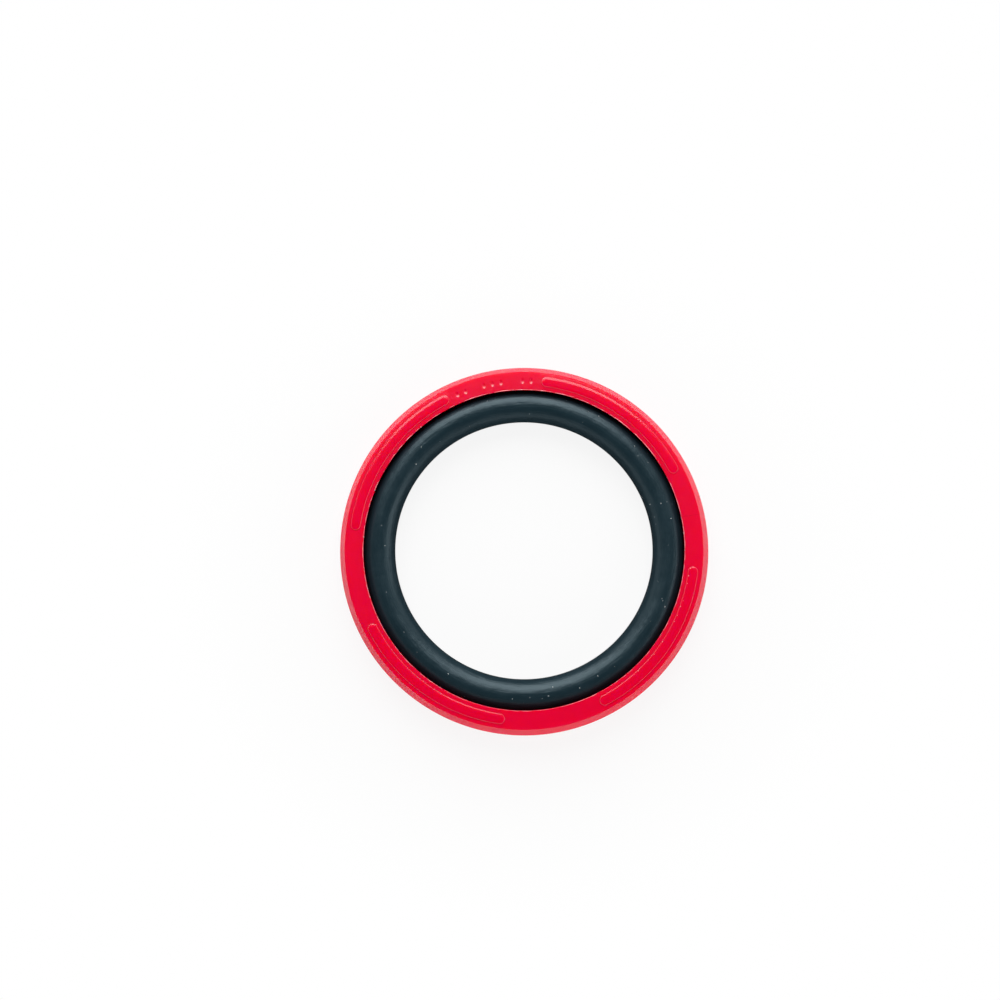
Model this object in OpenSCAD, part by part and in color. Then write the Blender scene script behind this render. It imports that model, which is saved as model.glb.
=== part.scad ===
// Two-piece piston seal for a hydraulic cylinder. A polyurethane profile ring seals against the
// bore with two narrow lips, and a rubber O-ring in its concave seat presses it outwards.
// The seal lies flat: +Z is its axis, and the origin is the centre of the plane it rests on.

/* [Cylinder bore] */
// Diameter of the bore that the seal runs in
bore_d = 80; // [72:1:90]
// How far each lip stands proud of the bore wall before the seal is fitted
lip_squeeze = 0.4; // [0.2:0.05:0.8]

/* [Profile ring] */
// Width between the two side faces, without the pads
body_w = 7.6; // [7.2:0.1:10]
// Radial width of each flat side face
face_w = 4.1; // [3.9:0.1:5.5]
// Radial drop of each tapered flank, from its lip to the side face
flank_drop = 1.35; // [0.6:0.05:1.8]
// Width of the cylindrical land on each lip
land_w = 0.45; // [0.35:0.05:0.8]
// Width of the groove between the lips
groove_w = 1.9; // [1.4:0.1:2.8]
// Width of the groove's flat floor
groove_floor_w = 0.8; // [0.5:0.1:1.2]
// Depth of the groove below the lips
groove_depth = 0.65; // [0.3:0.05:1]
// Depth of the concave seat at the middle of the ring's width
seat_depth = 0.45; // [0.3:0.05:0.8]
// Width of the cylindrical strip at each mouth of the seat
seat_strip_w = 0.3; // [0.2:0.05:0.6]
// Radius on the corners of the ring's outline
edge_r = 0.12; // [0.05:0.01:0.15]

/* [Side pads] */
// Number of raised pads on each side face
pad_count = 4; // [2:1:6]
// Width of a pad across its foot
pad_w = 2.6; // [1.8:0.05:2.8]
// Height of a pad above the side face
pad_h = 0.22; // [0.12:0.02:0.4]
// Height of the short wall round a pad's foot
pad_wall_h = 0.08; // [0.04:0.01:0.1]
// How far that wall leans in
pad_lean = 0.05; // [0.02:0.01:0.1]
// Width of the flat land along the middle of a pad's top, between its rounded shoulders
pad_land_w = 0.7; // [0.3:0.1:1.2]
// Angle that a pad spans, round ends included
pad_span = 58; // [30:1:58]
// Distance from the side face's outer edge to a pad's foot
pad_margin = 0.7; // [0.5:0.05:1]
// Angle of the first pad's middle, from +X
pad_turn = 55; // [0:1:90]

/* [O-ring] */
// Diameter of the O-ring's cord
cord_d = 7.0; // [6:0.1:7.2]
// Gap between the relaxed cord and the middle of its seat
seat_gap = 0.05; // [0.02:0.01:0.3]

/* [Hidden] */
$fn = 144;

// Straight pieces that a rounded corner or a pad's shoulder is drawn with
corner_steps = 6;
// How deep a pad's foot reaches into the ring, so that the two are one solid
pad_root = 0.3;

lip_r = bore_d / 2 + lip_squeeze;
groove_r = lip_r - groove_depth;
face_outer_r = lip_r - flank_drop;
face_inner_r = face_outer_r - face_w;
seat_r = face_inner_r + seat_depth;
lip_outer_z = groove_w / 2 + land_w;

// The seat is an arc through both of its mouths and its deepest point
seat_half_w = body_w / 2 - seat_strip_w;
seat_arc_r = (pow(seat_half_w, 2) + pow(seat_depth, 2)) / (2 * seat_depth);

cord_centre_r = seat_r - seat_gap - cord_d / 2;

pad_mid_r = face_outer_r - pad_margin - pad_w / 2;
pad_end_angle = asin(pad_w / 2 / pad_mid_r);
pad_arc = pad_span - 2 * pad_end_angle;

// The pads of the lower side face stand on the plane z = 0
seal_mid_z = body_w / 2 + pad_h;

// A pad's shoulder is an arc from its wall up to its land, and meets the land without an edge
shoulder_w = pad_w / 2 - pad_lean - pad_land_w / 2;
shoulder_h = pad_h - pad_wall_h;
shoulder_r = (pow(shoulder_w, 2) + pow(shoulder_h, 2)) / (2 * shoulder_h);
shoulder_angle = asin(shoulder_w / shoulder_r);

function unit(v) = v / norm(v);
function flat_point(corner) = [corner.x, corner.y];

// Arc that rounds a corner [x, y, radius] between its two neighbours
function corner_arc(before, corner, after) =
    let (
        tip = flat_point(corner),
        back = unit(flat_point(before) - tip),
        ahead = unit(flat_point(after) - tip),
        half_angle = acos(back * ahead) / 2,
        centre = tip + unit(back + ahead) * corner.z / sin(half_angle),
        from = tip + back * corner.z / tan(half_angle) - centre,
        to = tip + ahead * corner.z / tan(half_angle) - centre,
        start = atan2(from.y, from.x),
        sweep = (atan2(to.y, to.x) - start + 540) % 360 - 180
    )
    [for (i = [0:corner_steps])
        let (angle = start + sweep * i / corner_steps)
        centre + corner.z * [cos(angle), sin(angle)]];

// Outline through a list of corners, where a radius of 0 keeps the corner sharp
function rounded(corners) =
    let (last = len(corners))
    [for (i = [0:last - 1])
        each corners[i].z == 0
            ? [flat_point(corners[i])]
            : corner_arc(corners[(i + last - 1) % last], corners[i], corners[(i + 1) % last])];

// Upper half of the profile ring's section, from the groove's floor to the seat's mouth
upper_corners = [
    [groove_r, groove_floor_w / 2, edge_r],
    [lip_r, groove_w / 2, edge_r],
    [lip_r, lip_outer_z, edge_r],
    [face_outer_r, body_w / 2, edge_r],
    [face_inner_r, body_w / 2, edge_r]
];
lower_corners = [for (i = [len(upper_corners) - 1:-1:0])
    let (corner = upper_corners[i])
    [corner.x, -corner.y, corner.z]];

module ring_section() {
    difference() {
        polygon(rounded(concat(lower_corners, upper_corners)));
        translate([seat_r - seat_arc_r, 0]) circle(r = seat_arc_r);
    }
}

// Section of a pad about its middle line, or of its outer half when only one side has a wall
module pad_section(walls) {
    shoulder = [for (i = [0:corner_steps])
        let (angle = 90 - shoulder_angle * (1 - i / corner_steps))
        [pad_land_w / 2, pad_h - shoulder_r] + shoulder_r * [cos(angle), sin(angle)]];
    outer_half = concat([[pad_w / 2, -pad_root], [pad_w / 2, 0]], shoulder);
    inner_half = [for (i = [len(outer_half) - 1:-1:0]) [-outer_half[i].x, outer_half[i].y]];
    centre_line = [[0, pad_h], [0, -pad_root]];
    polygon(concat(outer_half, walls == 2 ? inner_half : centre_line));
}

// Curved pad with round ends, its middle at angle 0 and its foot on the plane z = 0
module pad() {
    rotate([0, 0, -pad_arc / 2])
        rotate_extrude(angle = pad_arc)
            translate([pad_mid_r, 0]) pad_section(walls = 2);
    for (end = [0, 1])
        mirror([0, end, 0])
            rotate([0, 0, pad_arc / 2])
                translate([pad_mid_r, 0, 0])
                    rotate_extrude(angle = 180) pad_section(walls = 1);
}

module pad_circle() {
    for (i = [0:pad_count - 1])
        rotate([0, 0, pad_turn + i * 360 / pad_count]) pad();
}

module profile_ring() {
    color("crimson")
        translate([0, 0, seal_mid_z])
            union() {
                rotate_extrude() ring_section();
                for (side = [0, 1])
                    mirror([0, 0, side])
                        translate([0, 0, body_w / 2]) pad_circle();
            }
}

module o_ring() {
    color("darkslategray")
        translate([0, 0, seal_mid_z])
            rotate_extrude()
                translate([cord_centre_r, 0]) circle(d = cord_d);
}

profile_ring();
o_ring();
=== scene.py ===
# A two-piece hydraulic piston seal: a red polyurethane profile ring with the black O-ring that
# presses it outwards, lying on a pale floor under soft light. Shapes are made in millimetres about
# the seal's mid-plane, and each finished piece is scaled to metres and raised to its place.

import math
import random
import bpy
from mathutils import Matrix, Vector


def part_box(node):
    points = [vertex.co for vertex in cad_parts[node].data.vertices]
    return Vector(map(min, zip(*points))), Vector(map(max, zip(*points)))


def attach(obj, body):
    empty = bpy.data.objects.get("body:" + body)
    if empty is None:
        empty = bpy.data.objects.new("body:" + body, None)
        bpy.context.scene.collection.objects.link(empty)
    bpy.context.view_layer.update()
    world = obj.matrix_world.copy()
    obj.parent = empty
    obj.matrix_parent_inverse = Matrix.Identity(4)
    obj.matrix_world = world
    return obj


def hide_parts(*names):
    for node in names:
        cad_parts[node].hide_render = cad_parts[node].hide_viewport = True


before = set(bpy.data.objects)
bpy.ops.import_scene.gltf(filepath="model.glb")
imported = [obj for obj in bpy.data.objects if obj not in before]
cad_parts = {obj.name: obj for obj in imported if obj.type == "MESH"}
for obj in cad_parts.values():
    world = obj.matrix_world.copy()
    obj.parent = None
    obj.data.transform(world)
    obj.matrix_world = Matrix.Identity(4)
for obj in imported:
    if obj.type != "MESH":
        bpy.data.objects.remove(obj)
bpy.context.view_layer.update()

from types import SimpleNamespace

import bmesh
import bpy
from bpy.props import FloatProperty, FloatVectorProperty, IntProperty, PointerProperty
from mathutils import Matrix, Vector, noise

bl_info = {
    "name": "Piston Seal",
    "version": (1, 0, 0),
    "blender": (4, 5, 0),
    "location": "3D View > Sidebar > Seal",
    "description": "Models a two-piece piston seal with its moulded finish and lights it",
    "category": "Add Mesh",
}

RING_LOW, RING_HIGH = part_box("profile_ring")
CORD_LOW, CORD_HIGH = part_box("o_ring")

MM = 0.001
MID_HEIGHT = (RING_LOW.z + RING_HIGH.z) / 2

# Distance in millimetres within which two points count as one
TOUCH = 0.002
# Straight pieces round the axis in everything that is turned
TURN_STEPS = 360
# Straight pieces round the O-ring's cord, a dimple's outline and the floor
CORD_STEPS = 72
DIMPLE_STEPS = 32
FLOOR_STEPS = 96
# Straight pieces in a rounded corner, in half a pad's rounded top or a dimple's edge, in the
# seat's arc and in a pad's round end
CORNER_STEPS = 6
CROWN_STEPS = 12
SEAT_STEPS = 20
PAD_END_STEPS = 24
# Corners sharper than this stay crisp
CRISP_ANGLE = math.radians(35)

# Groups of dimples in the upper side face: the angle of each group's middle, and its count
MARK_GROUPS = ((111.6, 2), (100.6, 3), (88.7, 2))
# How far a dimple's curved edge reaches in, as a share of the way to its middle
DIMPLE_EDGE = 0.9
# Where the two flows of plastic met in the mould, in degrees round the seal
WELD_ANGLE = 11
# How far the weld line wanders, in millimetres
WELD_WANDER = 0.3
# The ragged tip of the flash: how far it lies below its greatest height and how much that varies,
# as shares of that height, and how many times it varies in a millimetre
RAGGED_DROP = 0.8
RAGGED_SWING = 1.44
RAGGED_PACE = 0.9
# Where bits of torn flash stand on the upper face's inner edge, in degrees round the seal
NICK_ANGLES = (5.3, 7.5, 83.2, 90.4, 93.6, 130.0, 175.8, 194.3, 197.5)
# Chips on the pads: degrees round the seal, and the distance from its axis in millimetres
CHIP_PLACES = (
    (-7.0, 36.44), (-9.6, 36.22), (-12.2, 36.29), (-18.3, 36.3), (-20.5, 36.17),
    (-23.7, 36.28), (-26.0, 36.22), (-34.0, 36.08), (-39.2, 36.33), (-47.0, 36.15),
)
# How far the rounded shoulder under the chips lies below a pad's top, in millimetres
CHIP_DROP = 0.05
# Specks of lint on the O-ring: degrees round the seal, and degrees outwards round the cord
LINT_PLACES = (
    (19.2, -46.0), (11.4, 15.5), (-20.1, 0.6), (-22.5, 21.2), (178.7, -26.5), (-94.3, 11.8),
    (-80.5, 6.9), (42.5, 22.5), (18.0, -5.0), (135.1, -2.7), (141.7, -30.7), (-121.0, -3.3),
    (103.6, 29.8), (60.3, 29.5), (-59.9, -0.5), (-78.2, -21.7), (-68.2, 9.5),
)
# How far outwards round the cord the small specks of lint lie, in radians
LINT_TILTS = (-2.2, 0.9)
# Least and greatest length, width and height of a speck, as shares of its size
SPECK_SHAPE = ((0.7, 1.3), (0.35, 0.7), (0.3, 0.5))
# Sizes of the placed and the scattered specks, as multiples of the size that can be set
NICK_GROWTH = 1.4
CHIP_GROWTHS = (0.7, 1.1)
SMALL_NICK_GROWTHS = (0.5, 1.0)
LINT_GROWTH = 1.6
SMALL_LINT_GROWTHS = (0.4, 0.9)
# Seeds of the random draws
FLASH_SEED = 11
LINT_SEED = 5

WHITE = (1.0, 1.0, 1.0, 1.0)
# Radius of the floor in metres, and the distances from the seal's axis over which its shadow
# fades out, its mirror image turns white and its dim middle ends
FLOOR_RADIUS = 1.5
SHADOW_FADE = (0.045, 0.085)
MIRROR_FADE = (0.05, 0.12)
MIDDLE_FADE = (0.028, 0.036)


def length(name, millimetres, description):
    """A length property whose default is given in millimetres."""
    return FloatProperty(
        name=name,
        description=description,
        default=millimetres * MM,
        min=0.0,
        precision=5,
        unit="LENGTH",
    )


def degrees(name, value, description):
    """An angle property whose default is given in degrees."""
    return FloatProperty(
        name=name,
        description=description,
        default=math.radians(value),
        subtype="ANGLE",
    )


def number(name, default, description, least=0, most=200):
    """A property that holds a whole number."""
    return IntProperty(name=name, description=description, default=default, min=least, max=most)


def colour(name, default, description):
    """A colour property with a linear default."""
    return FloatVectorProperty(
        name=name,
        description=description,
        default=default,
        size=3,
        min=0.0,
        max=1.0,
        subtype="COLOR",
    )


def share(name, default, description):
    """A property that runs from 0 to 1."""
    return FloatProperty(
        name=name,
        description=description,
        default=default,
        min=0.0,
        max=1.0,
        subtype="FACTOR",
    )


class SEAL_PG_ring(bpy.types.PropertyGroup):
    lip_radius: length("Lip radius", RING_HIGH.x / MM, "Radius of the two sealing lips")
    total_width: length(
        "Total width", (RING_HIGH.z - RING_LOW.z) / MM, "Width over the pads of both sides"
    )
    face_width: length("Face width", 4.1, "Radial width of each flat side face")
    flank_drop: length("Flank drop", 1.35, "Radial drop of a flank, from its lip to the side face")
    land_width: length("Land width", 0.45, "Width of the cylindrical land on each lip")
    groove_width: length("Groove width", 1.9, "Width of the groove between the lips")
    groove_floor: length("Groove floor", 0.8, "Width of the groove's flat floor")
    groove_depth: length("Groove depth", 0.65, "Depth of the groove below the lips")
    seat_depth: length("Seat depth", 0.45, "Depth of the concave seat at the middle of the ring")
    seat_strip: length("Seat strip", 0.3, "Width of the straight strip at each mouth of the seat")
    edge_radius: length("Edge radius", 0.12, "Radius on the corners of the ring's outline")


class SEAL_PG_pads(bpy.types.PropertyGroup):
    count: number("Count", 4, "Number of raised pads on each side face", least=1, most=6)
    width: length("Width", 2.6, "Width of a pad across its foot")
    height: length("Height", 0.22, "Height of a pad above the side face")
    margin: length("Margin", 0.7, "Distance from the side face's outer edge to a pad's foot")
    skirt_width: length("Skirt width", 0.16, "Width of the low skirt round a pad's wall")
    skirt_height: length("Skirt height", 0.01, "Height of the skirt where it meets the wall")
    wall_height: length("Wall height", 0.02, "Height of the straight part of a pad's wall")
    foot_radius: length("Foot radius", 0.05, "Radius of the fillet between the skirt and the wall")
    edge_radius: length("Edge radius", 0.13, "Radius on the wall's upper edge")
    wall_slope: degrees("Wall slope", 65, "Angle between a pad's wall and the side face")
    crown_slope: degrees("Crown slope", 16, "Angle at which a pad's rounded top meets its edge")
    span: degrees("Span", 58, "Angle that a pad spans, round ends included")
    turn: degrees("Turn", 55, "Angle of the first pad's middle")


class SEAL_PG_marks(bpy.types.PropertyGroup):
    circle_radius: length("Circle radius", 36.95, "Radius of the circle that the dimples lie on")
    pitch: length("Pitch", 1.9, "Distance between the dimples of one group")
    long_radius: length("Long radius", 0.74, "Half the length of a dimple, towards the axis")
    short_radius: length("Short radius", 0.48, "Half the width of a dimple, round the seal")
    depth: length("Depth", 0.15, "Depth of a dimple below the side face")


class SEAL_PG_flash(bpy.types.PropertyGroup):
    width: length("Width", 0.16, "Width of the ridge of flash at its root")
    height: length("Height", 0.07, "Greatest height of the ridge above the side face")
    root: length("Root", 0.05, "How deep the ridge reaches into the ring")
    nick_size: length("Nick size", 0.2, "Length of a bit of torn flash")
    nick_count: number("Nick count", 26, "Number of small torn bits scattered round the edges")


class SEAL_PG_cord(bpy.types.PropertyGroup):
    outer_radius: length("Outer radius", CORD_HIGH.x / MM, "Radius of the O-ring's outside")
    diameter: length(
        "Cord diameter", (CORD_HIGH.z - CORD_LOW.z) / MM, "Diameter of the O-ring's cord"
    )
    lint_size: length("Lint size", 0.16, "Length of a speck of lint")
    lint_count: number("Lint count", 34, "Number of small specks scattered over the O-ring")


class SEAL_PG_finish(bpy.types.PropertyGroup):
    red: colour("Red", (0.83, 0.0, 0.039), "Polyurethane where it is brightest")
    deep_red: colour("Deep red", (0.76, 0.0, 0.036), "Polyurethane in the darker patches")
    # This pale red also paints the highlights on the pads' edges and in the dimples
    torn_red: colour("Torn red", (0.95, 0.6, 0.6), "Torn bits and flash that light passes through")
    rubber: colour("Rubber", (0.006, 0.018, 0.025), "The O-ring's nitrile rubber")
    pale_rubber: colour("Pale rubber", (0.010, 0.025, 0.034), "Rubber with a faint bloom")
    rubber_sheen: colour("Rubber sheen", (0.72, 0.92, 1.0), "Tint of what the rubber reflects")
    lint: colour("Lint", (0.75, 0.78, 0.78), "Dust and lint")
    face_roughness: share("Face roughness", 0.24, "Roughness of the satin side faces")
    pad_roughness: share("Pad roughness", 0.19, "Roughness of the polished pads")
    rubber_roughness: share("Rubber roughness", 0.34, "Roughness of the rubber")


class SEAL_PG_stage(bpy.types.PropertyGroup):
    camera_place: FloatVectorProperty(
        name="Camera place",
        description="Where the camera stands",
        default=(0.00275, -0.01898, 0.29033),
        subtype="TRANSLATION",
        unit="LENGTH",
    )
    camera_turn: FloatVectorProperty(
        name="Camera turn",
        description="How the camera is turned from looking straight down",
        default=(math.radians(5.97), math.radians(1.59), 0.0),
        subtype="EULER",
    )
    focal_length: FloatProperty(
        name="Focal length",
        description="Focal length of the camera's lens",
        default=46.8,
        unit="CAMERA",
    )
    zenith: share("Zenith", 0.012, "Brightness of the studio straight above the seal")
    horizon: share("Horizon", 1.0, "Brightness of the studio's walls at their foot")
    shadow: share("Shadow", 0.12, "How much of the shadow the pale floor keeps")


def in_millimetres(group):
    """A property group's values as plain attributes, with its lengths in millimetres."""
    values = {}
    for item in group.bl_rna.properties:
        if item.identifier not in ("rna_type", "name"):
            value = getattr(group, item.identifier)
            is_length = getattr(item, "unit", "NONE") == "LENGTH"
            values[item.identifier] = value / MM if is_length else value
    return SimpleNamespace(**values)


def ring_sizes(scene):
    """The profile ring's sizes in millimetres, with those that follow from them."""
    ring = in_millimetres(scene.seal_ring)
    pads = in_millimetres(scene.seal_pads)
    ring.half_width = ring.total_width / 2 - pads.height
    ring.face_outer = ring.lip_radius - ring.flank_drop
    ring.face_inner = ring.face_outer - ring.face_width
    ring.seat_radius = ring.face_inner + ring.seat_depth
    return ring


def cord_sizes(scene):
    """The O-ring's sizes in millimetres, with the radius of the circle that its cord follows."""
    cord = in_millimetres(scene.seal_cord)
    cord.centre_radius = cord.outer_radius - cord.diameter / 2
    return cord


def polar(radius, angle, height=0.0):
    """The point at a radius and an angle round the seal's axis."""
    return Vector((radius * math.cos(angle), radius * math.sin(angle), height))


def spin(bm, geom, angle, steps, centre=(0, 0, 0), axis=(0, 0, 1), **settings):
    """Sweeps some geometry round an axis, or copies it with use_duplicate, and returns the last."""
    swept = bmesh.ops.spin(
        bm, geom=geom, cent=centre, axis=axis, angle=angle, steps=steps, **settings
    )
    return swept["geom_last"]


def carry(bm, vert, centre, angle, steps, axis=(0, 0, 1)):
    """Carries a vertex round a centre, and returns the last vertex of the arc that it leaves."""
    swept = spin(bm, [vert], angle, steps, centre, axis)
    return next(item for item in swept if isinstance(item, bmesh.types.BMVert))


def revolve(bm):
    """Turns everything in a bmesh once round the seal's axis, and joins the end to the start."""
    spin(bm, [*bm.verts, *bm.edges], math.tau, TURN_STEPS, use_merge=True)


def round_corner(bm, corner, radius):
    """Rounds a corner of an outline, with a bevel that starts where the arc leaves each side."""
    first, second = [edge.other_vert(corner).co - corner.co for edge in corner.link_edges]
    bmesh.ops.bevel(
        bm,
        geom=[corner],
        offset=radius / math.tan(first.angle(second) / 2),
        offset_type="OFFSET",
        segments=CORNER_STEPS,
        profile=0.5,
        affect="VERTICES",
        material=-1,
    )


def join(bm, part):
    """Adds a part's bmesh to another, and frees the part's."""
    mesh = bpy.data.meshes.new("joined_part")
    part.to_mesh(mesh)
    part.free()
    bm.from_mesh(mesh)
    bpy.data.meshes.remove(mesh)


def mirror_half(bm):
    """Mirrors the upper half of a shape below the seal's mid-plane, and joins the two."""
    bmesh.ops.mirror(
        bm,
        geom=[*bm.verts, *bm.edges, *bm.faces],
        merge_dist=TOUCH,
        axis="Z",
    )


def ring_body(ring):
    """Upper half of the profile ring, turned from its section, without the flat side face."""
    bm = bmesh.new()
    groove_radius = ring.lip_radius - ring.groove_depth
    mouth = ring.half_width - ring.seat_strip
    corners = [
        (groove_radius, 0),
        (groove_radius, ring.groove_floor / 2),
        (ring.lip_radius, ring.groove_width / 2),
        (ring.lip_radius, ring.groove_width / 2 + ring.land_width),
        (ring.face_outer, ring.half_width),
        (ring.face_inner, ring.half_width),
        (ring.face_inner, mouth),
    ]
    outline = [bm.verts.new((radius, 0, height)) for radius, height in corners]
    for start, end in zip(outline, outline[1:]):
        bm.edges.new((start, end))

    # The seat is an arc from its mouth to its deepest point, in the middle of the ring's width
    seat_arc_radius = (mouth**2 + ring.seat_depth**2) / (2 * ring.seat_depth)
    seat_centre = (ring.seat_radius - seat_arc_radius, 0, 0)
    seat_angle = math.asin(mouth / seat_arc_radius)
    deepest = carry(bm, outline[-1], seat_centre, seat_angle, SEAT_STEPS, axis=(0, 1, 0))
    bm.edges.new((deepest, outline[0]))

    # The outline is filled only while its corners are rounded
    bmesh.ops.contextual_create(bm, geom=list(bm.edges))
    for corner in outline[1:-1]:
        round_corner(bm, corner, ring.edge_radius)
    bmesh.ops.delete(bm, geom=list(bm.faces), context="FACES_ONLY")
    level = [edge for edge in bm.edges if abs(edge.verts[0].co.z - edge.verts[1].co.z) < TOUCH]
    flat_side = [edge for edge in level if edge.verts[0].co.z > ring.half_width - TOUCH]
    mid_plane = [edge for edge in level if abs(edge.verts[0].co.z) < TOUCH]
    bmesh.ops.delete(bm, geom=flat_side + mid_plane, context="EDGES")
    revolve(bm)
    return bm


def bend(points, radius, start, end, steps):
    """Extends a path of points across and up with an arc that turns from one slope to another."""
    across, height = points[-1]
    side = math.copysign(radius, end - start)
    for i in range(1, steps + 1):
        slope = start + (end - start) * i / steps
        step_across = side * (math.sin(slope) - math.sin(start))
        points.append((across + step_across, height + side * (math.cos(start) - math.cos(slope))))


def pad_profile(pads):
    """Points inwards and up across a pad's edge: a low skirt, a short wall and the rounded top."""
    points = [(0, 0), (pads.skirt_width, pads.skirt_height)]
    bend(points, pads.foot_radius, 0, pads.wall_slope, CORNER_STEPS)
    across, height = points[-1]
    wall_lean = pads.wall_height / math.tan(pads.wall_slope)
    points.append((across + wall_lean, height + pads.wall_height))
    bend(points, pads.edge_radius, pads.wall_slope, pads.crown_slope, CORNER_STEPS)
    crown_radius = (pads.height - points[-1][1]) / (1 - math.cos(pads.crown_slope))
    bend(points, crown_radius, pads.crown_slope, 0, CROWN_STEPS)
    return points


def dimple_profile(depth):
    """Points inwards and down across the edge of a dimple of radius 1, which curves both ways."""
    points = []
    for i in range(CROWN_STEPS + 1):
        share_in = i / CROWN_STEPS
        sunk = depth * (1 - math.cos(math.pi * share_in)) / 2
        points.append((DIMPLE_EDGE * share_in, -sunk))
    return points


def raise_edges(bm, faces, points):
    """Raises or sinks some faces inside their outlines, with edges that follow a profile."""
    for start, end in zip(points, points[1:]):
        bmesh.ops.inset_individual(
            bm,
            faces=faces,
            thickness=end[0] - start[0],
            depth=end[1] - start[1],
            use_even_offset=True,
            use_interpolate=True,
        )


def side_pads(ring, pads):
    """The circle of curved pads that stands on one side face, open at their feet."""
    bm = bmesh.new()
    mid_radius = ring.face_outer - pads.margin - pads.width / 2
    arc = pads.span - 2 * math.asin(pads.width / 2 / mid_radius)
    arc_steps = round(arc / math.tau * TURN_STEPS)
    start, end = pads.turn - arc / 2, pads.turn + arc / 2
    height = ring.half_width

    first = bm.verts.new(polar(mid_radius + pads.width / 2, start, height))
    last = carry(bm, first, (0, 0, height), arc, arc_steps)
    last = carry(bm, last, polar(mid_radius, end, height), math.pi, PAD_END_STEPS)
    last = carry(bm, last, (0, 0, height), -arc, arc_steps)
    carry(bm, last, polar(mid_radius, start, height), math.pi, PAD_END_STEPS)
    bmesh.ops.remove_doubles(bm, verts=bm.verts, dist=TOUCH)
    top = bmesh.ops.contextual_create(bm, geom=list(bm.edges))["faces"]
    if top[0].normal.z < 0:
        top[0].normal_flip()
    raise_edges(bm, top, pad_profile(pads))

    spacing = math.tau / pads.count
    geom = [*bm.verts, *bm.edges, *bm.faces]
    spin(bm, geom, math.tau - spacing, pads.count - 1, use_duplicate=True)
    return bm


def face_marks(ring, marks):
    """Groups of small oval dimples in the upper side face, open where they meet it."""
    bm = bmesh.new()
    for middle, count in MARK_GROUPS:
        for i in range(count):
            angle = math.radians(middle) + (i - (count - 1) / 2) * marks.pitch / marks.circle_radius
            place = (
                Matrix.Rotation(angle, 4, "Z")
                @ Matrix.Translation((marks.circle_radius, 0, ring.half_width))
                @ Matrix.Diagonal((marks.long_radius, marks.short_radius, 1, 1))
            )
            dimple = bmesh.new()
            bmesh.ops.create_circle(dimple, cap_ends=True, segments=DIMPLE_STEPS, radius=1)
            raise_edges(dimple, dimple.faces[:], dimple_profile(marks.depth))
            bmesh.ops.transform(dimple, matrix=place, verts=dimple.verts)
            join(bm, dimple)
    return bm


def fill_side_face(bm, height):
    """Fills a flat side face between the ring's two edges and the feet of what stands on it."""
    outline = [
        edge
        for edge in bm.edges
        if edge.is_boundary and all(abs(vert.co.z - height) < TOUCH for vert in edge.verts)
    ]
    bmesh.ops.triangle_fill(bm, use_beauty=True, edges=outline, normal=(0, 0, 1))


def put_object(name, data):
    """Links a new object to the scene, in place of an earlier one of that name."""
    earlier = bpy.data.objects.get(name)
    if earlier:
        bpy.data.objects.remove(earlier)
    made = bpy.data.objects.new(name, data)
    bpy.context.scene.collection.objects.link(made)
    return made


def finish_piece(bm, name, materials, node=None):
    """Turns a closed bmesh into a piece of the seal, in its place and with its finish."""
    bmesh.ops.recalc_face_normals(bm, faces=bm.faces)
    if not all(edge.is_manifold for edge in bm.edges):
        raise RuntimeError(f"{name} isn't closed")
    bmesh.ops.scale(bm, vec=(MM, MM, MM), verts=bm.verts)
    bmesh.ops.translate(bm, vec=(0, 0, MID_HEIGHT), verts=bm.verts)
    mesh = bpy.data.meshes.new(name)
    bm.to_mesh(mesh)
    bm.free()
    mesh.shade_smooth()
    mesh.set_sharp_from_angle(angle=CRISP_ANGLE)
    for material in materials:
        mesh.materials.append(material)
    piece = put_object(name, mesh)
    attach(piece, "root")
    if node:
        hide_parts(node)
    return piece


def even_shading(piece):
    """Lets the large flat faces of a piece keep their own shading beside the small rounded ones."""
    modifier = piece.modifiers.new("even_shading", "WEIGHTED_NORMAL")
    modifier.keep_sharp = True


def set_inputs(tree, sockets, values):
    """Sets some input sockets to values, or links them to other nodes' outputs."""
    for name, value in dict(values).items():
        if isinstance(value, bpy.types.NodeSocket):
            tree.links.new(value, sockets[name])
        else:
            sockets[name].default_value = value


def add_node(tree, kind, inputs=(), **settings):
    """Adds a node with its settings, and with its inputs set or linked."""
    made = tree.nodes.new(kind)
    for name, value in settings.items():
        setattr(made, name, value)
    set_inputs(tree, made.inputs, inputs)
    return made


def maths(tree, operation, first, second=0.0, third=0.0):
    """The output of a Math node."""
    inputs = {0: first, 1: second, 2: third}
    return add_node(tree, "ShaderNodeMath", inputs, operation=operation).outputs[0]


def product(tree, first, *others):
    """The product of some values."""
    total = first
    for value in others:
        total = maths(tree, "MULTIPLY", total, value)
    return total


def map_range(tree, value, from_low, from_high, to_low=0.0, to_high=1.0, interpolation="LINEAR"):
    """The output of a clamped Map Range node."""
    inputs = {
        "Value": value,
        "From Min": from_low,
        "From Max": from_high,
        "To Min": to_low,
        "To Max": to_high,
    }
    made = add_node(tree, "ShaderNodeMapRange", inputs, interpolation_type=interpolation)
    return made.outputs["Result"]


def mix(tree, factor, first, second, kind="Color"):
    """The output of a Mix node between two colours, or between two values of kind Float."""
    made = add_node(tree, "ShaderNodeMix", data_type="RGBA" if kind == "Color" else "FLOAT")
    sockets = {item.identifier: item for item in made.inputs}
    set_inputs(tree, sockets, {"Factor_Float": factor, f"A_{kind}": first, f"B_{kind}": second})
    return next(item for item in made.outputs if item.identifier == f"Result_{kind}")


def opaque(rgb):
    """A linear colour with its alpha."""
    return (*rgb, 1.0)


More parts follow.
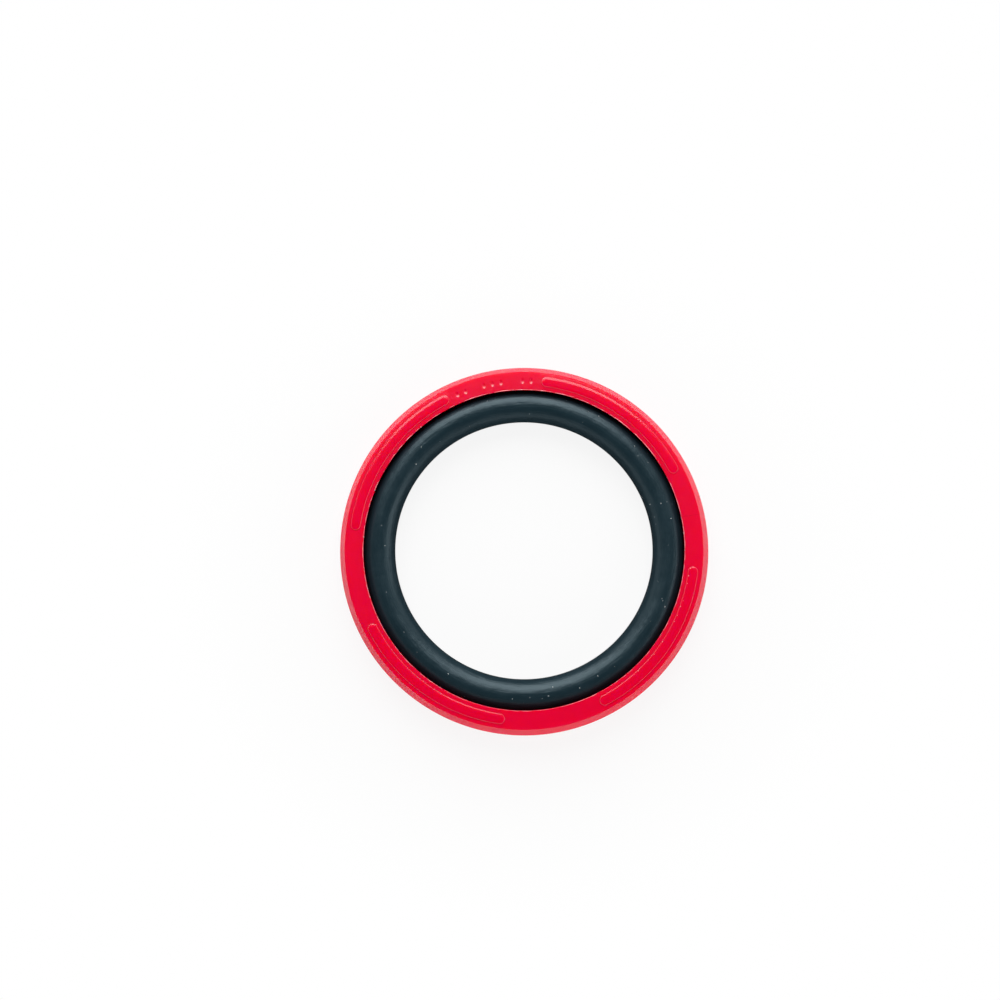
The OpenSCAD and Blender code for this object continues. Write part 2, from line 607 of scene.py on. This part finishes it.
def new_group(name, inputs, outputs):
    """An empty node group with its sockets, and its input and output nodes.

    Inputs come with their defaults. A socket named Place holds a vector, any other a number."""
    group = bpy.data.node_groups.new(name, "ShaderNodeTree")
    kinds = {"Place": "NodeSocketVector"}
    for label, default in inputs.items():
        kind = kinds.get(label, "NodeSocketFloat")
        socket = group.interface.new_socket(label, in_out="INPUT", socket_type=kind)
        socket.default_value = default
    for label in outputs:
        kind = kinds.get(label, "NodeSocketFloat")
        group.interface.new_socket(label, in_out="OUTPUT", socket_type=kind)
    return group, group.nodes.new("NodeGroupInput"), group.nodes.new("NodeGroupOutput")


def seal_place_group():
    """Where a point lies on the seal, in millimetres: its place, radius, angle and height."""
    group, _, result = new_group("seal_place", {}, ["Place", "Radius", "Angle", "Height"])
    inputs = {0: add_node(group, "ShaderNodeTexCoord").outputs["Object"], 1: (0, 0, MID_HEIGHT)}
    raised = add_node(group, "ShaderNodeVectorMath", inputs, operation="SUBTRACT").outputs[0]
    inputs = {0: raised, "Scale": 1 / MM}
    place = add_node(group, "ShaderNodeVectorMath", inputs, operation="SCALE").outputs[0]
    parts = add_node(group, "ShaderNodeSeparateXYZ", {0: place}).outputs
    square = product(group, parts["Y"], parts["Y"])
    square = maths(group, "MULTIPLY_ADD", parts["X"], parts["X"], square)
    results = {
        "Place": place,
        "Radius": maths(group, "SQRT", square),
        "Angle": maths(group, "ARCTAN2", parts["Y"], parts["X"]),
        "Height": parts["Z"],
    }
    set_inputs(group, result.inputs, results)
    return group


def noise_height(group, given, detail, roughness):
    """The output of a Noise Texture that takes its place and its size from a group's inputs."""
    inputs = {
        "Vector": given.outputs["Place"],
        "Scale": maths(group, "DIVIDE", 1.0, given.outputs["Size"]),
        "Detail": detail,
        "Roughness": roughness,
    }
    return add_node(group, "ShaderNodeTexNoise", inputs).outputs["Fac"]


def mottle_group():
    """Soft patches from 0 to 1."""
    group, given, result = new_group("mottle", {"Place": (0, 0, 0), "Size": 8.0}, ["Mask"])
    patches = noise_height(group, given, detail=3.0, roughness=0.55)
    set_inputs(group, result.inputs, {"Mask": map_range(group, patches, 0.32, 0.68)})
    return group


def grain_group():
    """Fine grain of a moulded skin, as a height from 0 to 1."""
    defaults = {"Place": (0, 0, 0), "Size": 0.2}
    group, given, result = new_group("moulded_grain", defaults, ["Height"])
    grain = noise_height(group, given, detail=2.0, roughness=0.6)
    set_inputs(group, result.inputs, {"Height": grain})
    return group


def turning_lines_group():
    """Faint lines round the axis, as a turned mould leaves them, as a height from 0 to 1."""
    defaults = {"Radius": 0.0, "Height": 0.0, "Angle": 0.0, "Pitch": 0.2, "Length": 20.0}
    group, given, result = new_group("turning_lines", defaults, ["Height"])
    radius, height, angle, pitch, reach = [given.outputs[label] for label in defaults]
    across = [maths(group, "DIVIDE", part, pitch) for part in (radius, height)]
    turns = maths(group, "DIVIDE", radius, reach)
    cosine = product(group, turns, maths(group, "COSINE", angle))
    sine = product(group, turns, maths(group, "SINE", angle))
    place = add_node(group, "ShaderNodeCombineXYZ", {0: across[0], 1: across[1], 2: cosine})
    lines = add_node(
        group,
        "ShaderNodeTexNoise",
        {"Vector": place.outputs[0], "W": sine, "Scale": 1.0, "Detail": 2.0, "Roughness": 0.5},
        noise_dimensions="4D",
    )
    set_inputs(group, result.inputs, {"Height": lines.outputs["Fac"]})
    return group


def dust_group():
    """Scattered specks of dust: a mask of 1 on each speck and 0 elsewhere."""
    defaults = {"Place": (0, 0, 0), "Spacing": 2.0, "Size": 0.08, "Share": 0.3}
    group, given, result = new_group("dust", defaults, ["Mask"])
    scale = maths(group, "DIVIDE", 1.0, given.outputs["Spacing"])
    place = {"Vector": given.outputs["Place"], "Scale": scale}
    cells = add_node(group, "ShaderNodeTexVoronoi", place).outputs
    reach = product(group, given.outputs["Size"], scale)
    near = maths(group, "LESS_THAN", cells["Distance"], reach)
    lot = add_node(group, "ShaderNodeSeparateColor", {0: cells["Color"]}).outputs["Red"]
    drawn = maths(group, "LESS_THAN", lot, given.outputs["Share"])
    set_inputs(group, result.inputs, {"Mask": product(group, near, drawn)})
    return group


GROUP_MAKERS = {
    "seal_place": seal_place_group,
    "mottle": mottle_group,
    "moulded_grain": grain_group,
    "turning_lines": turning_lines_group,
    "dust": dust_group,
}


def use_group(tree, name, inputs=()):
    """Places a node group in a material, made on its first use, with its inputs set."""
    group = bpy.data.node_groups.get(name) or GROUP_MAKERS[name]()
    return add_node(tree, "ShaderNodeGroup", inputs, node_tree=group)


def texture(tree, name, place, size):
    """A pattern of the node group of that name, with details of a size in millimetres."""
    return use_group(tree, name, {"Place": place["Place"], "Size": size}).outputs[0]


def lines_round(tree, place, pitch, reach):
    """Heights from 0 to 1 of faint lines round the axis, of a pitch and a length in millimetres."""
    inputs = {label: place[label] for label in ("Radius", "Height", "Angle")}
    return use_group(tree, "turning_lines", {**inputs, "Pitch": pitch, "Length": reach}).outputs[0]


def band(tree, value, start, full_start, full_end, end):
    """A mask that rises from 0 to 1 and falls again as a value passes through a band."""
    rise = map_range(tree, value, start, full_start)
    fall = map_range(tree, value, full_end, end, 1.0, 0.0)
    return product(tree, rise, fall)


def weighted_sum(tree, *terms):
    """The sum of some heights, each times its own weight."""
    total = 0.0
    for value, weight in terms:
        total = maths(tree, "MULTIPLY_ADD", value, weight, total)
    return total


def paint(tree, base, over, mask, most):
    """A base colour with another laid over it, up to the most that it covers where a mask is 1."""
    return mix(tree, product(tree, mask, most), base, over)


def new_material(name):
    """An empty material and its nodes, or an earlier one of that name emptied."""
    material = bpy.data.materials.get(name) or bpy.data.materials.new(name)
    material.use_nodes = True
    material.node_tree.nodes.clear()
    return material, material.node_tree


def surface(tree, base, roughness, relief):
    """The shader of one surface, with its relief given as a height in millimetres."""
    bump = add_node(tree, "ShaderNodeBump", {"Height": relief, "Distance": MM, "Strength": 1.0})
    shader = add_node(
        tree,
        "ShaderNodeBsdfPrincipled",
        {"Base Color": base, "Roughness": roughness, "Normal": bump.outputs["Normal"]},
    )
    add_node(tree, "ShaderNodeOutputMaterial", {"Surface": shader.outputs[0]})
    return shader


def new_finish(name):
    """An empty material of the seal, its nodes, and where on the seal each point lies."""
    material, tree = new_material(name)
    return material, tree, use_group(tree, "seal_place").outputs


def weld_mask(tree, place, clouds):
    """The line across the ring where the two flows of plastic met in the mould."""
    past_weld = maths(tree, "SUBTRACT", place["Angle"], math.radians(WELD_ANGLE))
    offset = product(tree, past_weld, place["Radius"])
    wander = product(tree, maths(tree, "SUBTRACT", clouds, 0.5), WELD_WANDER)
    from_weld = maths(tree, "ABSOLUTE", maths(tree, "ADD", offset, wander))
    return map_range(tree, from_weld, 0.02, 0.09, 1.0, 0.0)


def seat_shade_mask(tree, place, above_mid, ring):
    """The part of the seat behind the O-ring that is painted dark as shade."""
    in_seat = maths(tree, "LESS_THAN", place["Radius"], ring.seat_radius + 0.05)
    inside = map_range(tree, above_mid, ring.half_width - 0.25, ring.half_width - 0.1, 1.0, 0.0)
    return product(tree, in_seat, inside)


def dimple_glint_mask(tree, place, above_mid, flecks, ring, marks):
    """A painted highlight: paler colour in the side of each dimple that lies nearer the axis."""
    sunk = map_range(tree, above_mid, ring.half_width - 0.04, ring.half_width - 0.01, 1.0, 0.0)
    off_circle = maths(tree, "SUBTRACT", place["Radius"], marks.circle_radius)
    inner_side = map_range(tree, off_circle, -0.5, 0.0, 1.0, 0.0)
    on_face = maths(tree, "GREATER_THAN", off_circle, -marks.long_radius)
    patchy = map_range(tree, flecks, 0.0, 0.5, 0.3, 1.0)
    return product(tree, sunk, inner_side, on_face, patchy)


def red_polyurethane(finish, ring, marks):
    """Moulded polyurethane: satin side faces, polished pads, faint turning lines, a weld line."""
    material, tree, place = new_finish("red_polyurethane")
    patches = texture(tree, "mottle", place, 6.0)
    clouds = texture(tree, "mottle", place, 1.4)
    flecks = texture(tree, "mottle", place, 0.45)
    grain = texture(tree, "moulded_grain", place, 0.18)
    lines = lines_round(tree, place, 0.35, 30.0)
    above_mid = maths(tree, "ABSOLUTE", place["Height"])
    above_face = maths(tree, "SUBTRACT", above_mid, ring.half_width)
    weld = weld_mask(tree, place, clouds)
    # Masks of painted shade in the seat and of a painted highlight in the dimples
    seat_shade = seat_shade_mask(tree, place, above_mid, ring)
    dimple_glint = dimple_glint_mask(tree, place, above_mid, flecks, ring, marks)

    # Pads stand above the side faces and take the polish of the mould. Their feet are painted
    # darker as painted shade, and the edges round their tops paler as a painted highlight
    polished = map_range(tree, above_face, 0.01, 0.04)
    shaded = band(tree, above_face, 0.002, 0.006, 0.03, 0.05)
    edge_highlight = band(tree, above_face, 0.045, 0.06, 0.13, 0.145)

    # Colours of painted shade, of the weld line and of painted highlights
    seat_shade_red = opaque([0.25 * part for part in finish.deep_red])
    weld_and_shade_red = opaque([0.6 * part for part in finish.deep_red])
    highlight_red = opaque(finish.torn_red)
    depth = weighted_sum(tree, (patches, 0.4), (flecks, 0.3))
    base = mix(tree, depth, opaque(finish.red), opaque(finish.deep_red))
    base = paint(tree, base, weld_and_shade_red, weld, 0.35)
    # Painted shade: the part of the seat behind the O-ring is painted dark
    base = paint(tree, base, seat_shade_red, seat_shade, 1.0)
    # Painted highlight in the side of each dimple nearer the axis
    base = paint(tree, base, highlight_red, dimple_glint, 0.5)
    # Painted shade round the pads' feet, and a painted highlight on the edges round their tops
    base = paint(tree, base, weld_and_shade_red, shaded, 0.3)
    base = paint(tree, base, highlight_red, edge_highlight, 0.08)

    satin = map_range(
        tree, clouds, 0.0, 1.0, finish.face_roughness - 0.02, finish.face_roughness + 0.02
    )
    sheen = map_range(
        tree, clouds, 0.0, 1.0, finish.pad_roughness - 0.03, finish.pad_roughness + 0.03
    )
    roughness = mix(tree, polished, satin, sheen, kind="Float")

    # The grain shows on the side faces, less on the pads and hardly on the flanks and the lips
    grained = map_range(tree, above_face, -0.1, -0.02, 0.04)
    grained = maths(tree, "MULTIPLY_ADD", polished, -0.8, grained)
    relief = weighted_sum(tree, (grain, 0.017), (flecks, 0.004), (lines, 0.012))
    relief = maths(tree, "MULTIPLY_ADD", weld, -0.006, product(tree, relief, grained))
    shader = surface(tree, base, roughness, relief)
    shader.inputs["Subsurface Weight"].default_value = 0.7
    shader.inputs["Subsurface Radius"].default_value = (1.0, 0.05, 0.05)
    shader.inputs["Subsurface Scale"].default_value = 2.5 * MM
    return material


def torn_flash(finish):
    """The thin ridge of flash, paler than the ring where light passes through it."""
    material, tree, place = new_finish("torn_flash")
    patches = texture(tree, "mottle", place, 1.1)
    grain = texture(tree, "moulded_grain", place, 0.05)
    shade = map_range(tree, patches, 0.0, 1.0, 0.3, 1.0)
    base = mix(tree, shade, opaque(finish.red), opaque(finish.torn_red))
    roughness = map_range(tree, grain, 0.3, 0.7, 0.3, 0.5)
    surface(tree, base, roughness, product(tree, grain, 0.01))
    return material


def torn_bits(finish):
    """Small torn bits of polyurethane, nearly white."""
    material, tree, place = new_finish("torn_bits")
    grain = texture(tree, "moulded_grain", place, 0.05)
    base = paint(tree, opaque(finish.lint), opaque(finish.torn_red), grain, 0.5)
    roughness = map_range(tree, grain, 0.3, 0.7, 0.4, 0.6)
    surface(tree, base, roughness, product(tree, grain, 0.01))
    return material


def black_rubber(finish):
    """Moulded nitrile rubber: a fine dull skin with faint streaks, a bloom and settled dust."""
    material, tree, place = new_finish("black_rubber")
    patches = texture(tree, "mottle", place, 5.0)
    clouds = texture(tree, "mottle", place, 0.9)
    grain = texture(tree, "moulded_grain", place, 0.12)
    swell = texture(tree, "moulded_grain", place, 3.0)
    streaks = lines_round(tree, place, 0.4, 4.0)
    specks = {"Place": place["Place"], "Spacing": 1.3, "Size": 0.08, "Share": 0.09}
    dust = use_group(tree, "dust", specks).outputs[0]
    bloom = weighted_sum(tree, (clouds, 0.2), (patches, 0.5), (streaks, 0.3))
    base = mix(tree, bloom, opaque(finish.rubber), opaque(finish.pale_rubber))
    base = paint(tree, base, opaque(finish.lint), dust, 0.4)
    roughness = map_range(
        tree, bloom, 0.0, 1.0, finish.rubber_roughness - 0.05, finish.rubber_roughness + 0.06
    )
    relief = weighted_sum(tree, (grain, 0.018), (streaks, 0.065), (swell, 0.12))
    shader = surface(tree, base, roughness, relief)
    shader.inputs["Specular Tint"].default_value = opaque(finish.rubber_sheen)
    return material


def lint_finish(finish):
    """Pale lint with a fibrous surface."""
    material, tree, place = new_finish("lint")
    grain = texture(tree, "moulded_grain", place, 0.03)
    grey_lint = opaque((0.4, 0.42, 0.42))
    base = paint(tree, opaque(finish.lint), grey_lint, grain, 0.5)
    surface(tree, base, 0.9, product(tree, grain, 0.01))
    return material


def pale_floor(stage):
    """A floor that the camera sees as white, with the seal's soft shadow, and only from above."""
    material, tree = new_material("pale_floor")
    place = add_node(tree, "ShaderNodeTexCoord").outputs["Object"]
    reach = add_node(tree, "ShaderNodeVectorMath", {0: place}, operation="LENGTH").outputs["Value"]
    path = add_node(tree, "ShaderNodeLightPath").outputs
    others = maths(tree, "MAXIMUM", path["Is Glossy Ray"], path["Is Transmission Ray"])
    shown = map_range(tree, reach, *SHADOW_FADE, 1 - stage.shadow, 1.0, "SMOOTHSTEP")
    mirrored = map_range(tree, reach, *MIRROR_FADE, 0.0, 1.0, "SMOOTHSTEP")
    factor = product(tree, mirrored, others)
    factor = maths(tree, "MULTIPLY_ADD", shown, path["Is Camera Ray"], factor)

    # Painted shade: for reflected rays only, the floor in the seal's opening is painted dark
    # The O-ring mirrors the floor of its opening as dim, as it does in the photo
    pale = (0.86, 0.86, 0.86, 1.0)
    dim = (0.02, 0.02, 0.02, 1.0)
    reflected_shade = product(tree, map_range(tree, reach, *MIDDLE_FADE, 0.92, 0.0), others)
    paper = add_node(tree, "ShaderNodeBsdfDiffuse", {"Color": mix(tree, reflected_shade, pale, dim)})
    white = add_node(tree, "ShaderNodeEmission", {"Color": WHITE, "Strength": 1.0})
    inputs = {0: factor, 1: paper.outputs[0], 2: white.outputs[0]}
    lit = add_node(tree, "ShaderNodeMixShader", inputs)

    under = add_node(tree, "ShaderNodeNewGeometry").outputs["Backfacing"]
    clear = add_node(tree, "ShaderNodeBsdfTransparent")
    inputs = {0: under, 1: lit.outputs[0], 2: clear.outputs[0]}
    sided = add_node(tree, "ShaderNodeMixShader", inputs)
    add_node(tree, "ShaderNodeOutputMaterial", {"Surface": sided.outputs[0]})
    return material


def scatter(bm, place, size, rng):
    """Adds one small irregular speck at a place given as a matrix."""
    shape = [rng.uniform(*limits) for limits in SPECK_SHAPE]
    turn = Matrix.Rotation(rng.uniform(0, math.tau), 4, "Z")
    matrix = place @ turn @ Matrix.Diagonal((*shape, 1))
    bmesh.ops.create_icosphere(bm, subdivisions=1, radius=size / 2, matrix=matrix)


class SealOperator:
    """What every operator of the seal shares."""

    bl_options = {"REGISTER", "UNDO"}


class SEAL_OT_profile_ring(SealOperator, bpy.types.Operator):
    """Models the red profile ring, with its lips, groove, seat, side pads and dimples"""

    bl_idname = "seal.profile_ring"
    bl_label = "Profile Ring"

    def execute(self, context):
        ring = ring_sizes(context.scene)
        marks = in_millimetres(context.scene.seal_marks)
        bm = ring_body(ring)
        join(bm, side_pads(ring, in_millimetres(context.scene.seal_pads)))
        mirror_half(bm)
        join(bm, face_marks(ring, marks))
        for height in (ring.half_width, -ring.half_width):
            fill_side_face(bm, height)
        material = red_polyurethane(in_millimetres(context.scene.seal_finish), ring, marks)
        name = "moulded_profile_ring"
        piece = finish_piece(bm, name, [material], "profile_ring")
        even_shading(piece)
        return {"FINISHED"}


class SEAL_OT_edge_flash(SealOperator, bpy.types.Operator):
    """Models the thin ridge of flash on the inner edge of each side face, and its torn bits"""

    bl_idname = "seal.edge_flash"
    bl_label = "Edge Flash"

    def execute(self, context):
        ring = ring_sizes(context.scene)
        pads = in_millimetres(context.scene.seal_pads)
        flash = in_millimetres(context.scene.seal_flash)
        finish = in_millimetres(context.scene.seal_finish)
        edge_radius = ring.face_inner + ring.edge_radius / 2
        bm = bmesh.new()
        self.raise_ridge(bm, ring, flash, edge_radius)
        ridge = set(bm.faces)
        self.scatter_bits(bm, ring, pads, flash, edge_radius)
        for face in bm.faces:
            face.material_index = 0 if face in ridge else 1
        mirror_half(bm)
        materials = [torn_flash(finish), torn_bits(finish)]
        finish_piece(bm, "edge_flash", materials)
        return {"FINISHED"}

    @staticmethod
    def raise_ridge(bm, ring, flash, edge_radius):
        """The ragged ridge on the upper face's inner edge."""
        root_height = ring.half_width - flash.root
        tip_height = ring.half_width + flash.height
        section = [
            (edge_radius, root_height),
            (edge_radius, tip_height),
            (edge_radius + flash.width, root_height),
        ]
        corners = [bm.verts.new((radius, 0, height)) for radius, height in section]
        for start, end in zip(corners, corners[1:] + corners[:1]):
            bm.edges.new((start, end))
        revolve(bm)
        for vert in bm.verts:
            if vert.co.z > tip_height - TOUCH:
                waves = noise.noise(vert.co * RAGGED_PACE)
                vert.co.z -= flash.height * (RAGGED_DROP - RAGGED_SWING * waves)

    @staticmethod
    def scatter_bits(bm, ring, pads, flash, edge_radius):
        """Torn bits on the upper face's inner edge, and chips on the shoulders of the pads."""
        rng = random.Random(FLASH_SEED)
        face = ring.half_width
        shoulder = face + pads.height - CHIP_DROP
        bits = [(math.radians(angle), edge_radius, face, NICK_GROWTH) for angle in NICK_ANGLES]
        for angle, radius in CHIP_PLACES:
            bits.append((math.radians(angle), radius, shoulder, rng.uniform(*CHIP_GROWTHS)))
        for _ in range(flash.nick_count):
            angle = rng.uniform(0, math.tau)
            bits.append((angle, edge_radius, face, rng.uniform(*SMALL_NICK_GROWTHS)))
        for angle, radius, height, growth in bits:
            spot = Matrix.Translation(polar(radius, angle, height))
            scatter(bm, spot @ Matrix.Rotation(angle, 4, "Z"), flash.nick_size * growth, rng)


class SEAL_OT_o_ring(SealOperator, bpy.types.Operator):
    """Models the black O-ring that sits in the profile ring's seat"""

    bl_idname = "seal.o_ring"
    bl_label = "O-ring"

    def execute(self, context):
        cord = cord_sizes(context.scene)
        centre = Matrix.Translation((cord.centre_radius, 0, 0))
        bm = bmesh.new()
        bmesh.ops.create_circle(
            bm,
            segments=CORD_STEPS,
            radius=cord.diameter / 2,
            matrix=centre @ Matrix.Rotation(math.pi / 2, 4, "X"),
        )
        revolve(bm)
        material = black_rubber(in_millimetres(context.scene.seal_finish))
        finish_piece(bm, "moulded_o_ring", [material], "o_ring")
        return {"FINISHED"}


class SEAL_OT_lint(SealOperator, bpy.types.Operator):
    """Scatters the small specks of lint on the O-ring"""

    bl_idname = "seal.lint"
    bl_label = "Lint"

    def execute(self, context):
        cord = cord_sizes(context.scene)
        rng = random.Random(LINT_SEED)
        places = [(math.radians(turn), math.radians(tilt), LINT_GROWTH) for turn, tilt in LINT_PLACES]
        for _ in range(cord.lint_count):
            turn = rng.uniform(0, math.tau)
            tilt = rng.uniform(*LINT_TILTS)
            places.append((turn, tilt, rng.uniform(*SMALL_LINT_GROWTHS)))
        bm = bmesh.new()
        for turn, tilt, growth in places:
            spot = (
                Matrix.Rotation(turn, 4, "Z")
                @ Matrix.Translation((cord.centre_radius, 0, 0))
                @ Matrix.Rotation(tilt, 4, "Y")
                @ Matrix.Translation((0, 0, cord.diameter / 2))
            )
            scatter(bm, spot, cord.lint_size * growth, rng)
        material = lint_finish(in_millimetres(context.scene.seal_finish))
        finish_piece(bm, "lint_specks", [material])
        return {"FINISHED"}


def softbox(name, azimuth, elevation, distance, size, brightness):
    """A rectangular light that faces the seal, its angles in degrees and its sizes in metres.

    A brightness of 1 is as bright as lit white paper."""
    width, height = size
    lamp = bpy.data.lights.new(name, "AREA")
    lamp.shape = "RECTANGLE"
    lamp.size = width
    lamp.size_y = height
    lamp.energy = brightness * math.pi * width * height
    rise = math.radians(elevation)
    direction = polar(math.cos(rise), math.radians(azimuth), math.sin(rise))
    stand = put_object(name, lamp)
    stand.location = direction * distance
    stand.rotation_mode = "QUATERNION"
    stand.rotation_quaternion = (-direction).to_track_quat("-Z", "Y")
    return stand


class SEAL_OT_stage(SealOperator, bpy.types.Operator):
    """Sets up the pale floor, the soft lights, the studio's walls and the camera"""

    bl_idname = "seal.stage"
    bl_label = "Stage"

    def execute(self, context):
        scene = context.scene
        stage = scene.seal_stage
        self.lay_floor(stage)
        self.hang_softboxes()
        self.light_studio(scene, stage)
        self.place_camera(scene, stage)
        scene.view_settings.view_transform = "Standard"
        return {"FINISHED"}

    @staticmethod
    def lay_floor(stage):
        """A round pale floor under the seal."""
        bm = bmesh.new()
        bmesh.ops.create_circle(bm, cap_ends=True, segments=FLOOR_STEPS, radius=FLOOR_RADIUS)
        mesh = bpy.data.meshes.new("floor")
        bm.to_mesh(mesh)
        bm.free()
        mesh.materials.append(pale_floor(stage))
        floor = put_object("floor", mesh)

    @staticmethod
    def hang_softboxes():
        """The key light behind the seal, and two lights that fill its right and front."""
        softbox("key_softbox", 95, 40, distance=0.6, size=(0.62, 0.56), brightness=4.4)
        softbox("right_fill", -5, 26, distance=0.7, size=(0.5, 0.4), brightness=1.3)
        # Lights the flank that faces the camera's foot, and isn't mirrored in the O-ring
        front_fill = softbox("front_fill", -88, 12, distance=0.6, size=(0.9, 0.3), brightness=2.5)
        front_fill.visible_glossy = False

    @staticmethod
    def light_studio(scene, stage):
        """A studio whose walls are white at their foot and dim towards the ceiling.

        The camera itself sees white all round."""
        world = bpy.data.worlds.new("studio")
        world.use_nodes = True
        tree = world.node_tree
        tree.nodes.clear()
        direction = add_node(tree, "ShaderNodeTexCoord").outputs["Generated"]
        height = add_node(tree, "ShaderNodeSeparateXYZ", {0: direction}).outputs["Z"]
        ceiling = math.sin(math.radians(60))
        lit = map_range(tree, height, 0.0, ceiling, stage.horizon, stage.zenith, "SMOOTHSTEP")
        seen = add_node(tree, "ShaderNodeLightPath").outputs["Is Camera Ray"]
        strength = maths(tree, "MAXIMUM", lit, seen)
        walls = add_node(tree, "ShaderNodeBackground", {"Color": WHITE, "Strength": strength})
        add_node(tree, "ShaderNodeOutputWorld", {"Surface": walls.outputs[0]})
        scene.world = world

    @staticmethod
    def place_camera(scene, stage):
        """The camera that sees the seal as the photo shows it."""
        camera = bpy.data.cameras.new("portrait_camera")
        camera.lens = stage.focal_length
        camera.clip_start = 0.01
        tripod = put_object("portrait_camera", camera)
        tripod.location = stage.camera_place
        tripod.rotation_euler = stage.camera_turn
        scene.camera = tripod


class SEAL_PT_panel(bpy.types.Panel):
    """Lists the seal's pieces and its stage"""

    bl_idname = "SEAL_PT_panel"
    bl_label = "Piston Seal"
    bl_space_type = "VIEW_3D"
    bl_region_type = "UI"
    bl_category = "Seal"

    def draw(self, context):
        for operator in OPERATORS:
            self.layout.operator(operator.bl_idname)


GROUPS = {
    "seal_ring": SEAL_PG_ring,
    "seal_pads": SEAL_PG_pads,
    "seal_marks": SEAL_PG_marks,
    "seal_flash": SEAL_PG_flash,
    "seal_cord": SEAL_PG_cord,
    "seal_finish": SEAL_PG_finish,
    "seal_stage": SEAL_PG_stage,
}
OPERATORS = (
    SEAL_OT_profile_ring,
    SEAL_OT_edge_flash,
    SEAL_OT_o_ring,
    SEAL_OT_lint,
    SEAL_OT_stage,
)
CLASSES = (*GROUPS.values(), *OPERATORS, SEAL_PT_panel)


def register():
    for kind in CLASSES:
        bpy.utils.register_class(kind)
    for name, kind in GROUPS.items():
        setattr(bpy.types.Scene, name, PointerProperty(type=kind))


def unregister():
    for name in GROUPS:
        delattr(bpy.types.Scene, name)
    for kind in reversed(CLASSES):
        bpy.utils.unregister_class(kind)


def main():
    """Registers the add-on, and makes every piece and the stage."""
    register()
    bpy.ops.seal.profile_ring()
    bpy.ops.seal.edge_flash()
    bpy.ops.seal.o_ring()
    bpy.ops.seal.lint()
    bpy.ops.seal.stage()


if __name__ == "__main__":
    main()
